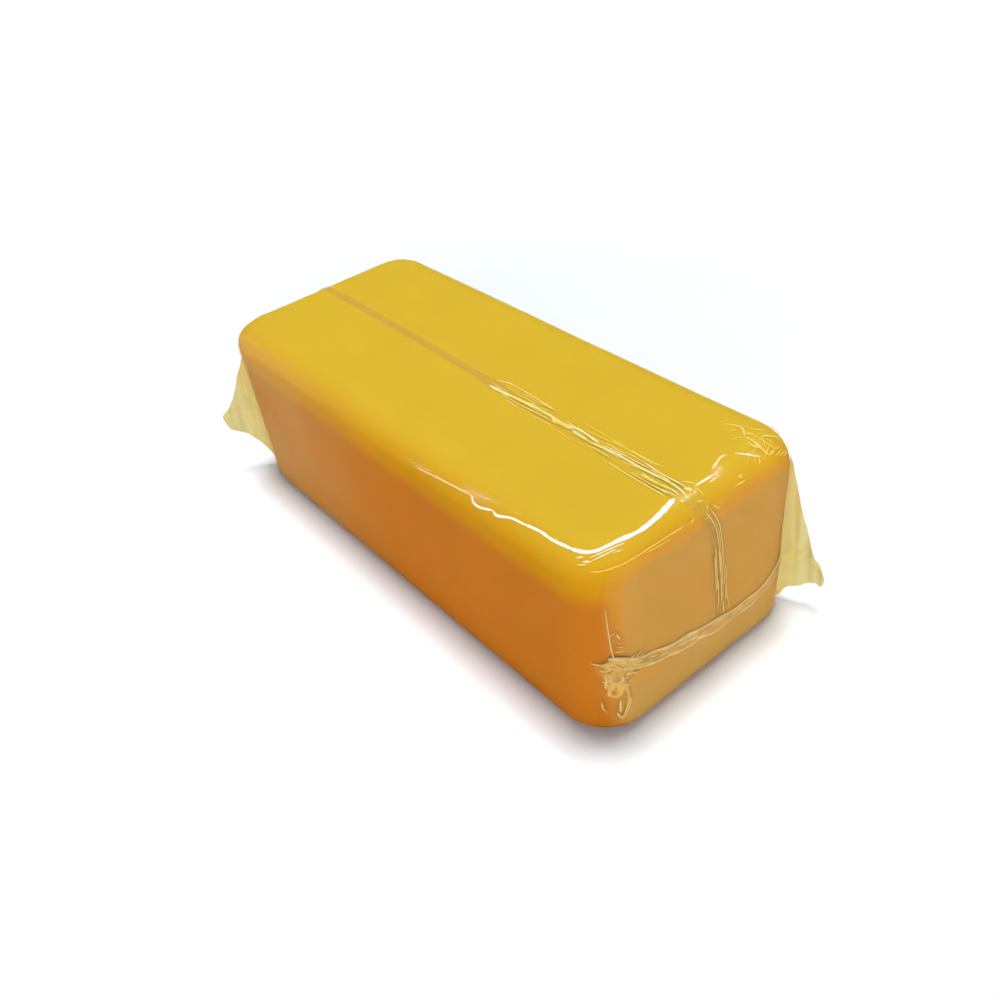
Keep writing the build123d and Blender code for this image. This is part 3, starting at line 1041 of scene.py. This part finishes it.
class CLAYBAR_OT_fold(bpy.types.Operator):
    """Crumple the folded corner flat onto the near end"""

    bl_idname = "claybar.fold"
    bl_label = "Folded corner"

    def execute(self, context):
        form = Form()
        centre, proud, sunk = np.array([-16.4, 12.2]), 0.05, 0.05
        deselect_all()
        bpy.ops.mesh.primitive_uv_sphere_add(segments=200, ring_count=110, radius=1)
        fold = new_piece("near_left_fold")
        ball = vertices_of(fold)
        angle = np.arctan2(ball[:, 1], ball[:, 0])
        reach = np.minimum(np.hypot(ball[:, 0], ball[:, 1]), 1)
        edge = curve_through([*FOLD_OUTLINE, FOLD_OUTLINE[0]], 400) - centre
        turn = np.arctan2(edge[:, 1], edge[:, 0])
        order = np.argsort(turn)
        far = np.interp(angle, turn[order], np.hypot(edge[:, 0], edge[:, 1])[order], period=2 * pi)
        across = centre[0] + np.cos(angle) * far * reach
        up = centre[1] + np.sin(angle) * far * reach
        base = on_near_end(form, across, up)

        def close_to(across, up, wide, tall):
            return np.exp(-(((base[:, 1] - across) / wide) ** 2) - (((base[:, 2] - up) / tall) ** 2))

        knot = np.maximum(close_to(-15.6, 12.4, 2.4, 1.5), close_to(-16.8, 9.6, 1.0, 2.2))
        creases = []
        for course, width in FOLD_STRANDS:
            line = curve_through(on_near_end(form, *np.array(course, float).T), 20)
            creases.append((form.on_skin(line), 0.2 * width, 0.5 * width, 0.12))
        raised = crease_heights(base, creases)
        crumpled = (0.12 + 0.16 * lumps(base, 1.1, 9)) * knot
        front = ball[:, 2] > 0
        edge_drop = smooth((1 - reach) / 0.12)
        lift = np.where(front, (proud + raised + crumpled) * edge_drop - sunk * (1 - edge_drop), -sunk)
        move_vertices(fold, base + lift[:, None] * form.outward(base))
        haze = (0.5 + 0.3 * lumps(base, 0.8, 9)) * smooth(knot / 0.5) + 0.45 * np.clip(raised / 0.12, 0, 1)
        store(fold, "haze", np.where(front, np.clip(haze, 0, 0.7) * edge_drop, 0))
        store(fold, "amber", 1 - 0.3 * smooth(crumpled / 0.25))
        finish_piece(fold, shrink_film("crumpled_film_fold", 0.12), "film_corner", "near_left_ear")
        return {"FINISHED"}


def raise_ridges(form, name, courses, lift, seed, highlight_colour, dull):
    """Crisp creases that stand this high on the skin and taper at both ends, as one piece. A course is
    (points, width at its start, width at its end, highlight share). Share 0 has the dull colour, and 1 the
    painted highlight colour."""
    tallest, step = settings()[1].crease_height / MM, 0.3
    deselect_all()
    curve = bpy.data.curves.new(name, "CURVE")
    curve.dimensions, curve.bevel_depth, curve.bevel_resolution, curve.use_fill_caps = "3D", MM, 4, True
    rows = []
    for points, start_width, stop_width, highlight_share in courses:
        line = form.on_skin(points)
        length = line_length(line)
        line = form.on_skin(curve_through(line, max(int(length / step), 6)))
        place = np.linspace(0, 1, len(line))
        taper = smooth(np.minimum(place, 1 - place) * length / min(0.8, length / 2.5))
        radius = (start_width + (stop_width - start_width) * place) * (0.06 + 0.44 * taper)
        radius *= 1 + 0.3 * lumps(line, 0.9, seed)
        spline = curve.splines.new("POLY")
        spline.points.add(len(line) - 1)
        for point, spot, size in zip(spline.points, line, radius):
            point.co, point.radius = (*(spot * MM), 1), size
        rows.append((line, radius, highlight_share))
    piece = bpy.data.objects.new(name, curve)
    bpy.context.scene.collection.objects.link(piece)
    select_only(piece)
    bpy.ops.object.convert(target="MESH")
    piece = new_piece(name)
    points = vertices_of(piece) / MM
    above = form.distance(points) - form.lift
    # Thick creases are pressed flat, so that none stands much taller than the rest
    low = np.where(above > 0, tallest * np.tanh(above / tallest / 1.4) + lift, above)
    move_vertices(piece, points + (low - above)[:, None] * form.outward(points))
    # Each vertex goes by the crease whose line it is nearest to. A crease is opaque along its top and fades
    # to its edges, for in film it has no dark outline.
    nearest = np.full(len(points), np.inf)
    haze, dullness = np.zeros(len(points)), np.zeros(len(points))
    for line, radius, highlight_share in rows:
        close = np.where(np.all((points > line.min(0) - 1) & (points < line.max(0) + 1), axis=1))[0]
        away = np.linalg.norm(points[close][:, None] - line[None], axis=2)
        best, spot = away.min(axis=1), away.argmin(axis=1)
        closer = best < nearest[close]
        chosen = close[closer]
        nearest[chosen] = best[closer]
        haze[chosen] = 0.95 * smooth(above[chosen] / radius[spot[closer]] / 0.8)
        # Painted highlight: the higher a crease's highlight share, the nearer its top is to the pale
        # highlight colour
        dullness[chosen] = 1 - highlight_share**2
    store(piece, "haze", haze)
    store(piece, "amber", dullness)
    finish_piece(piece, shrink_film(name + "_film", 0.1, highlight_colour, dull), "film")


class CLAYBAR_OT_creases(bpy.types.Operator):
    """Draw the film's crisp creases, their tops painted with a highlight colour: round the rim, along the
    seam and down the near end
    """

    bl_idname = "claybar.creases"
    bl_label = "Crisp creases"

    def execute(self, context):
        form, film = Form(), settings()[1]
        random = np.random.default_rng(53)
        for name, courses, lift, seed, highlight_colour, dull in (
            ("rim_creases", self.rim(form, random), 0.03, 51, film.crease_highlight, film.crease_gold),
            ("seam_creases", self.seam(form, random), 0.07, 52, film.crease_highlight, film.crease_gold),
            ("end_creases", self.near_end(form, random), 0.12, 54, film.end_crease, film.amber),
        ):
            raise_ridges(form, name, courses, lift, seed, highlight_colour, dull)
        return {"FINISHED"}

    def rim(self, form, random):
        gathers = []
        for line, _, width, _ in corner_wrinkles(form, (44.3, 14.5, 30.6), (1.4, 2.2, 0.8), 18, 0.1, 7):
            gathers.append((line[::3], width * 0.7, width * 0.7, random.uniform(0, 0.3)))
        return RIM_CREASES + CORNER_CREASES + gathers

    def seam(self, form, random):
        threads = []
        for course, width, highlight_share in SEAM_THREADS:
            threads.append(([(x, y, form.skin_top) for x, y in course], width, width, highlight_share))
        last = 45
        for _ in range(60):
            start, run = random.uniform(5, 42), random.uniform(1.5, 6)
            offset, slope = random.uniform(-3.4, 0.6), random.normal(0.0, 0.03)
            width = random.uniform(0.12, 0.22)
            stop = (min(start + run, last), offset + slope * run, form.skin_top)
            threads.append(([(start, offset, form.skin_top), stop], width, width, random.uniform(0, 0.5)))
        return threads

    def near_end(self, form, random):
        strands = []
        # Threads run on down the near end, spreading towards the end weld
        for _ in range(22):
            side, start, stop = random.uniform(-1, 1), random.uniform(8.5, 30.5), random.uniform(8.5, 30.5)
            if abs(start - stop) < 3:
                continue
            heights = np.linspace(max(start, stop), min(start, stop), 6)
            middle = np.interp(heights, [8.4, 17, 24.5, 31], [2.7, 2.1, 1.2, -0.8])
            breadth = np.interp(heights, [8.4, 12, 24, 31], [2.2, 1.2, 1, 1.6])
            line = on_near_end(form, middle + side * breadth, heights)
            strands.append((line, 0.18, 0.18, random.uniform(0, 0.8)))
        # Each fold of the crumpled corner is a bundle of threads, with short ones across the knot
        for course, width in FOLD_STRANDS:
            course = np.array(course, float)
            for _ in range(3 if width > 0.4 else 1):
                place = course + random.uniform(-0.4, 0.4, 2) * (width - 0.3)
                place = place + random.normal(0, 0.06, course.shape)
                strands.append((on_near_end(form, *place.T), 0.14, 0.24, random.uniform(0.1, 0.9)))
        for _ in range(70):
            start = np.array([random.uniform(-18, -13.6), random.uniform(7.8, 13.8)])
            if start[0] > -15 and start[1] < 10.5:
                continue
            heading, run = random.uniform(0, pi), random.uniform(0.5, 1.6)
            stop = start + run * np.array([cos(heading), sin(heading)])
            line = on_near_end(form, *np.array([start, stop]).T)
            strands.append((line, 0.15, 0.25, random.uniform(0, 0.9)))
        return strands


def softbox(name, direction, next_direction, distance, breadth, power, mirrored=False):
    """A panel light that reaches from one direction to the next, seen from the bar, and faces the bar. A
    mirrored one shows only as a glint in the film, and any other one lights only the matt surfaces."""
    start, stop = Vector(direction).normalized() * distance, Vector(next_direction).normalized() * distance
    middle, along = (start + stop) / 2, (stop - start).normalized()
    side = middle.cross(along).normalized()
    back = along.cross(side)
    data = bpy.data.lights.new(name, "AREA")
    data.shape, data.size, data.size_y, data.energy = "RECTANGLE", (stop - start).length, breadth, power
    light = bpy.data.objects.new(name, data)
    bpy.context.scene.collection.objects.link(light)
    light.matrix_world = Matrix.Translation(middle) @ Matrix((along, side, back)).transposed().to_4x4()
    light.visible_camera = False
    light.visible_diffuse = light.visible_transmission = not mirrored
    light.visible_glossy = mirrored


# The narrow panels whose line the film mirrors round its rim: the direction in which each starts, seen from
# the bar, and its breadth in metres. Each ends where the next one starts.
GLINTS = [
    ((-0.71, -0.7, 0.06), 0.01), ((-0.637, -0.689, 0.345), 0.012), ((-0.593, -0.402, 0.697), 0.02),
    ((0.068, -0.342, 0.937), 0.05), ((0.315, 0.404, 0.859), 0.06), ((0.24, 0.56, 0.795), 0.06),
    ((0.0, 0.6, 0.8), 0),
]

# The camera: its place in millimetres, its azimuth, elevation and roll in degrees, and its lens and sensor
# in millimetres
CAMERA_PLACE = (109.543, -75.149, 109.94)
CAMERA_TURN = (55.06, 38.4, -7.58)
CAMERA_LENS, CAMERA_SENSOR = 35.28, 36


class CLAYBAR_OT_studio(bpy.types.Operator):
    """Lay the pale table and set up the soft light and the camera"""

    bl_idname = "claybar.studio"
    bl_label = "Studio"

    def execute(self, context):
        studio = settings()[2]
        deselect_all()
        bpy.ops.mesh.primitive_plane_add(size=6, location=(0, 0, 0))
        table = new_piece("table")
        table.data.materials.append(table_paper(studio.floor_colour))
        table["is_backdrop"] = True

        far, near = 1.3, 1.2
        softbox("overhead_box", (-0.17, 0.09, 1.0), (0.05, 0.09, 1.0), far, 0.29, studio.key_power)
        softbox("front_fill", (0.38, -0.9, 0.3), (0.93, -0.3, 0.3), far, 0.5, studio.fill_power)
        for number, ((start, breadth), (stop, _)) in enumerate(zip(GLINTS, GLINTS[1:])):
            length = (Vector(stop).normalized() - Vector(start).normalized()).length
            power = studio.glint_power * breadth * length
            softbox(f"glint_{number}", start, stop, near, breadth, power, mirrored=True)
        self.light_room(context.scene)
        self.set_camera(context.scene)
        context.scene.view_settings.view_transform = "Standard"
        return {"FINISHED"}

    def light_room(self, scene):
        """A white room, whose dim light on the bar is a little blue."""
        world = bpy.data.worlds.new("soft_tent")
        scene.world = world
        world.use_nodes = True
        tree = world.node_tree
        tree.nodes.clear()
        camera_ray = add_node(tree, "LightPath").outputs["Is Camera Ray"]
        seen = add_node(tree, "Background", Color=(1, 1, 1, 1), Strength=1.0)
        lit = add_node(tree, "Background", Color=(0.4, 0.9, 1.3, 1), Strength=0.12)
        both = add_node(tree, "MixShader", i0=camera_ray, i1=lit.outputs[0], i2=seen.outputs[0])
        add_node(tree, "OutputWorld", Surface=both.outputs[0])

    def set_camera(self, scene):
        data = bpy.data.cameras.new("camera")
        camera = bpy.data.objects.new("camera", data)
        scene.collection.objects.link(camera)
        scene.camera = camera
        data.sensor_width, data.lens = CAMERA_SENSOR, CAMERA_LENS
        data.clip_start, data.clip_end = 0.005, 20
        azimuth, elevation, roll = (radians(turn) for turn in CAMERA_TURN)
        back = Vector((sin(azimuth) * cos(elevation), -cos(azimuth) * cos(elevation), sin(elevation)))
        right = Vector((0, 0, 1)).cross(back).normalized()
        up = back.cross(right)
        right, up = right * cos(roll) + up * sin(roll), up * cos(roll) - right * sin(roll)
        turn = Matrix((right, up, back)).transposed().to_4x4()
        camera.matrix_world = Matrix.Translation(Vector(CAMERA_PLACE) * MM) @ turn


class CLAYBAR_PT_panel(bpy.types.Panel):
    """Sizes, colours and making of the wrapped clay bar"""

    bl_idname = "CLAYBAR_PT_panel"
    bl_label = "Wrapped Clay Bar"
    bl_space_type = "VIEW_3D"
    bl_region_type = "UI"
    bl_category = "Clay Bar"

    def draw(self, context):
        for group in settings():
            box = self.layout.box()
            for name in group.__annotations__:
                box.prop(group, name)
        for operator in OPERATORS:
            self.layout.operator(operator.bl_idname)


OPERATORS = (
    CLAYBAR_OT_clay, CLAYBAR_OT_skin, CLAYBAR_OT_seam, CLAYBAR_OT_seals, CLAYBAR_OT_ears, CLAYBAR_OT_fold,
    CLAYBAR_OT_creases, CLAYBAR_OT_studio,
)
CLASSES = (BlockSettings, FilmSettings, StudioSettings, *OPERATORS, CLAYBAR_PT_panel)


def register():
    for cls in CLASSES:
        bpy.utils.register_class(cls)
    bpy.types.Scene.clay_bar_block = bpy.props.PointerProperty(type=BlockSettings)
    bpy.types.Scene.clay_bar_film = bpy.props.PointerProperty(type=FilmSettings)
    bpy.types.Scene.clay_bar_studio = bpy.props.PointerProperty(type=StudioSettings)


def unregister():
    del bpy.types.Scene.clay_bar_studio
    del bpy.types.Scene.clay_bar_film
    del bpy.types.Scene.clay_bar_block
    for cls in reversed(CLASSES):
        bpy.utils.unregister_class(cls)


def main():
    register()
    bpy.ops.claybar.clay()
    bpy.ops.claybar.skin()
    bpy.ops.claybar.seam()
    bpy.ops.claybar.seals()
    bpy.ops.claybar.ears()
    bpy.ops.claybar.fold()
    bpy.ops.claybar.creases()
    bpy.ops.claybar.studio()
    boxes = {"cad": cad_box, "visual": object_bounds()}
    boxes = {name: [list(corner) for corner in box] for name, box in boxes.items()}


if __name__ == "__main__":
    main()
